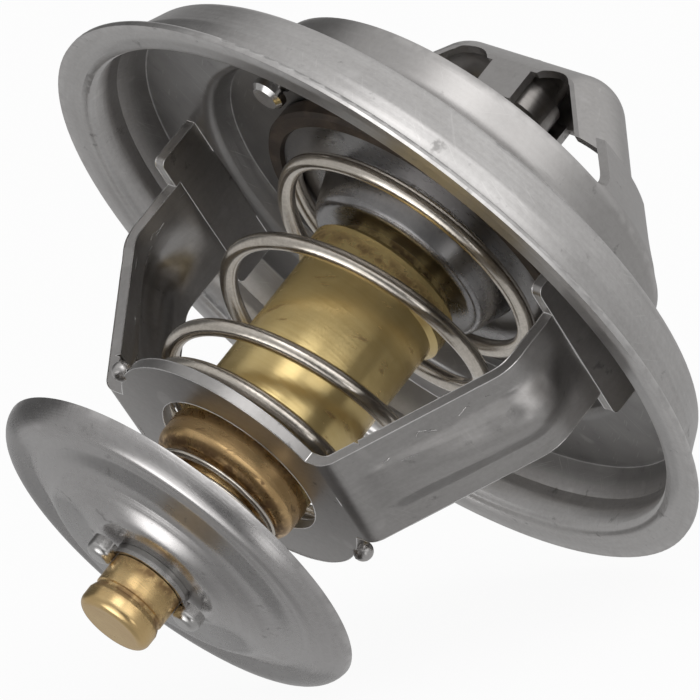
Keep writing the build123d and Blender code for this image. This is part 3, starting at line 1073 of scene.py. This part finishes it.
FINISHES: dict[str, Finish] = {
    # The flange's dish is darkened by painted shade within 28.9 mm of the axis
    "flange": WornSheet(
        (0.70, 0.685, 0.675), (0.50, 0.485, 0.475), (0.28, 0.42), lines=2.6, relief=0.014,
        edges=((33.2, 0.4), (28.6, 6.6), (21.6, 8.3)), folds=((30.1, 0.0, 2.6),),
        shade_within=28.9),
    "bridge": WornSheet(
        (0.56, 0.545, 0.535), (0.44, 0.425, 0.415), (0.30, 0.44), lines=2.2, relief=0.008,
        edges=((19.9, 13.6), (8.2, 26.2))),
    "valve_plate": WornSheet(
        (0.37, 0.36, 0.36), (0.24, 0.235, 0.235), (0.22, 0.34), lines=2.2, relief=0.008,
        edges=((8.7, 3.2), (9.5, 6.8))),
    "bypass_disc": WornSheet(
        (0.60, 0.585, 0.58), (0.46, 0.445, 0.44), (0.22, 0.33), lines=2.0, relief=0.004,
        edges=((17.8, -28.0), (5.6, -31.4)),
        presses=((11.4, 6.0, 2.6), (11.2, 14.4, 1.3), (18.6, 13.4, 2.8))),
    # The stirrup's two lugs carry a painted highlight
    "frame": PressedLegs(
        (0.54, 0.525, 0.515), (0.40, 0.385, 0.375), (0.32, 0.46),
        grain=Grain.ALONG_STRIP, lines=2.4, relief=0.006),
    "burr": Metal((0.92, 0.91, 0.90), (0.70, 0.69, 0.68), (0.16, 0.30), Grain.NONE),
    "spring": Metal(
        (0.90, 0.84, 0.76), (0.54, 0.49, 0.42), (0.16, 0.26), lines=5.0, relief=0.003,
        peel=0.002, stain=0.7, scratch=0.72),
    "pin": Metal(
        (0.70, 0.69, 0.68), (0.55, 0.54, 0.53), (0.12, 0.22), lines=6.0, relief=0.003),
    "plug": Metal((0.42, 0.40, 0.38), (0.26, 0.24, 0.23), (0.28, 0.42), lines=5.0),
    "washer": Metal((0.48, 0.47, 0.45), (0.32, 0.31, 0.30), (0.24, 0.38), lines=4.0),
    "clip": Metal(
        (0.66, 0.65, 0.64), (0.50, 0.49, 0.48), (0.18, 0.30), Grain.NONE, lines=3.0),
    "cup": TurnedBrass(
        (0.96, 0.76, 0.36), (0.72, 0.53, 0.21), (0.18, 0.28), lines=2.6, relief=0.010,
        stain=0.62, ends=(-18.2, 0.4), tarnish=(0.17, 0.08, 0.03), metallic=0.62),
    "guide": TurnedBrass(
        (0.66, 0.52, 0.25), (0.46, 0.34, 0.14), (0.22, 0.34), lines=4.0, ends=(2.6,)),
    "cap": TurnedBrass(
        (0.82, 0.58, 0.30), (0.58, 0.37, 0.16), (0.20, 0.34), lines=2.0, relief=0.012,
        stain=0.58, ends=(-19.0, -22.3), tarnish=(0.14, 0.065, 0.03)),
    "stem": TurnedBrass(
        (0.88, 0.66, 0.34), (0.66, 0.44, 0.19), (0.18, 0.32), lines=2.2, relief=0.014,
        stain=0.62, ends=(-32.8, -35.4), tarnish=(0.20, 0.10, 0.04)),
    "seal": Moulded((0.040, 0.028, 0.020), (0.085, 0.062, 0.045), 0.5),
    "boot": Moulded((0.020, 0.020, 0.021), (0.05, 0.05, 0.05), 0.6),
    "wax": Moulded(
        (0.62, 0.33, 0.17), (0.72, 0.45, 0.27), 0.45, skin_scale=2.0, relief=0.05,
        specular=0.5, waxy=0.2),
    "plastic": Moulded(
        (0.72, 0.70, 0.64), (0.82, 0.80, 0.75), 0.4, skin_scale=3.0, relief=0.01),
}

DRESSED: dict[str, str] = {
    "flange": "flange", "bridge": "bridge", "seat_plug": "plug", "piston": "pin",
    "frame": "frame", "end_cap": "cap", "main_spring": "spring",
    "vent_pin": "pin", "vent_weight": "plug", "element_cup": "cup",
    "wax_charge": "wax", "rubber_boot": "boot", "guide_body": "guide",
    "piston_seal": "boot", "backup_washer": "plastic", "valve_plate": "valve_plate",
    "valve_rubber": "seal", "plate_ring": "washer", "stem": "stem",
    "bypass_spring": "spring", "bypass_disc": "bypass_disc", "stop_washer": "washer",
    "retaining_clip": "clip",
}


@dataclass(frozen=True)
class Burrs:
    """Bright burrs along the sheared edges of a pressing.

    Attributes:
        node: Name of the solid that has the edges.
        body: Body that carries the burrs.
        slot: The record's material slot of the burrs; not used.
        radius: Largest radius of a burr in metres.
        swell: Share of the radius by which the burrs differ.
        ripple: How quickly the radius changes from place to place, in radians a metre.
        sides: Number of flats round a burr.
        turn: Cosine of the smallest turn between two faces that counts as an edge.
        weld: Distance in metres within which points count as one.
        upright: Height of a unit vector above which it counts as along the axis.
        least: Length or area below which a vector isn't made a unit one.
    """

    node: str
    body: str
    slot: str
    radius: float = 0.065 * MM
    swell: float = 0.25
    ripple: float = 2100.0
    sides: int = 6
    turn: float = 0.5
    weld: float = 1e-6
    upright: float = 0.9
    least: float = 1e-18

    def edges(self, solid: bpy.types.Object) -> tuple[np.ndarray, np.ndarray]:
        """Finds the sharp edges of a solid.

        Points that share a place count as one. Each edge is listed once per face, and
        those whose two faces turn by more than the limit are kept.

        Args:
            solid: The solid.

        Returns:
            The start and end points of the sharp edges, each of shape (n, 3).
        """
        mesh = solid.data
        places = np.empty(len(mesh.vertices) * 3)
        mesh.vertices.foreach_get("co", places)
        places = places.reshape(-1, 3)
        _, first, same = np.unique(np.round(places / self.weld).astype(np.int64), axis=0,
                                   return_index=True, return_inverse=True)
        mesh.calc_loop_triangles()
        count = len(mesh.loop_triangles)
        corners = np.empty(count * 3, dtype=np.int64)
        mesh.loop_triangles.foreach_get("vertices", corners)
        corners = same.ravel()[corners.reshape(-1, 3)]
        points = places[first]
        face = np.cross(points[corners[:, 1]] - points[corners[:, 0]],
                        points[corners[:, 2]] - points[corners[:, 0]])
        face /= np.maximum(np.linalg.norm(face, axis=1, keepdims=True), self.least)
        pairs = np.concatenate([corners[:, [0, 1]], corners[:, [1, 2]], corners[:, [2, 0]]])
        pairs.sort(axis=1)
        faces = np.tile(np.arange(count), 3)
        order = np.lexsort((pairs[:, 1], pairs[:, 0]))
        pairs, faces = pairs[order], faces[order]
        twice = np.flatnonzero((pairs[1:] == pairs[:-1]).all(axis=1))
        cosine = (face[faces[twice]] * face[faces[twice + 1]]).sum(axis=1)
        sharp = pairs[twice[cosine < self.turn]]
        return points[sharp[:, 0]], points[sharp[:, 1]]

    def rods(self, start: np.ndarray, end: np.ndarray) -> np.ndarray:
        """Points of the rods, a ring at each end.

        A ring is radius (side cos a + other sin a), with side and other square to the
        edge, and a radius that ripples with the place of its start.

        Args:
            start: Start points of the edges, of shape (n, 3).
            end: End points of the edges, of shape (n, 3).

        Returns:
            The points, of shape (n, 2 * sides, 3).
        """
        along = end - start
        along /= np.maximum(np.linalg.norm(along, axis=1, keepdims=True), self.least)
        helper = np.where(np.abs(along[:, 2:]) < self.upright,
                          [[0.0, 0.0, 1.0]], [[1.0, 0.0, 0.0]])
        side = np.cross(along, helper)
        side /= np.linalg.norm(side, axis=1, keepdims=True)
        other = np.cross(along, side)
        angle = np.arange(self.sides) * (2 * math.pi / self.sides)
        ring = (side[:, None] * np.cos(angle)[None, :, None]
                + other[:, None] * np.sin(angle)[None, :, None])
        wave = np.sin(start * self.ripple).sum(axis=1) / 3.0
        size = self.radius * (1.0 - self.swell + self.swell * wave)
        ring = ring * size[:, None, None]
        return np.concatenate([start[:, None] + ring, end[:, None] + ring], axis=1)

    def build(self, solid: bpy.types.Object, material: bpy.types.Material) -> None:
        """Lays a thin rod along every sharp edge, in one object.

        Args:
            solid: The solid that has the edges.
            material: Material of the burrs.
        """
        start, end = self.edges(solid)
        points = self.rods(start, end)
        number = np.arange(self.sides)
        after = (number + 1) % self.sides
        wall = np.stack([number, after, after + self.sides, number + self.sides], axis=1)
        base = (np.arange(len(start)) * 2 * self.sides)[:, None]
        walls = (wall[None] + base[:, None]).reshape(-1, 4)
        low = number[::-1][None] + base
        high = number[None] + self.sides + base
        mesh = bpy.data.meshes.new(self.node + "_burrs")
        mesh.from_pydata(points.reshape(-1, 3).tolist(), [],
                         walls.tolist() + low.tolist() + high.tolist())
        mesh.update()
        mesh.materials.append(material)
        burrs = bpy.data.objects.new(self.node + "_burrs", mesh)
        bpy.context.scene.collection.objects.link(burrs)
        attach(burrs, self.body)
        LOG.info("%s: %d sharp edges", self.node, len(start))


def dress_nodes(nodes: dict[str, bpy.types.Object]) -> None:
    """Gives every solid of the frame its finish.

    Args:
        nodes: The frame's solids by name.
    """
    made: dict[str, bpy.types.Material] = {}
    for node, finish in DRESSED.items():
        if finish not in made:
            made[finish] = FINISHES[finish].dress("finish_" + finish)
        for slot in nodes[node].material_slots:
            slot.material = made[finish]
        LOG.info("dressed %s with %s", node, finish)


def main() -> None:
    """Loads the frame, sets the stage, dresses the solids and adds the burrs."""
    logging.basicConfig(level=logging.INFO, format="%(message)s")
    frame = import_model()
    Stage().build()
    dress_nodes(frame["nodes"])
    Burrs("frame", "housing", "frame_steel").build(
        frame["nodes"]["frame"], FINISHES["burr"].dress("finish_burr"))


if __name__ == "__main__":
    main()
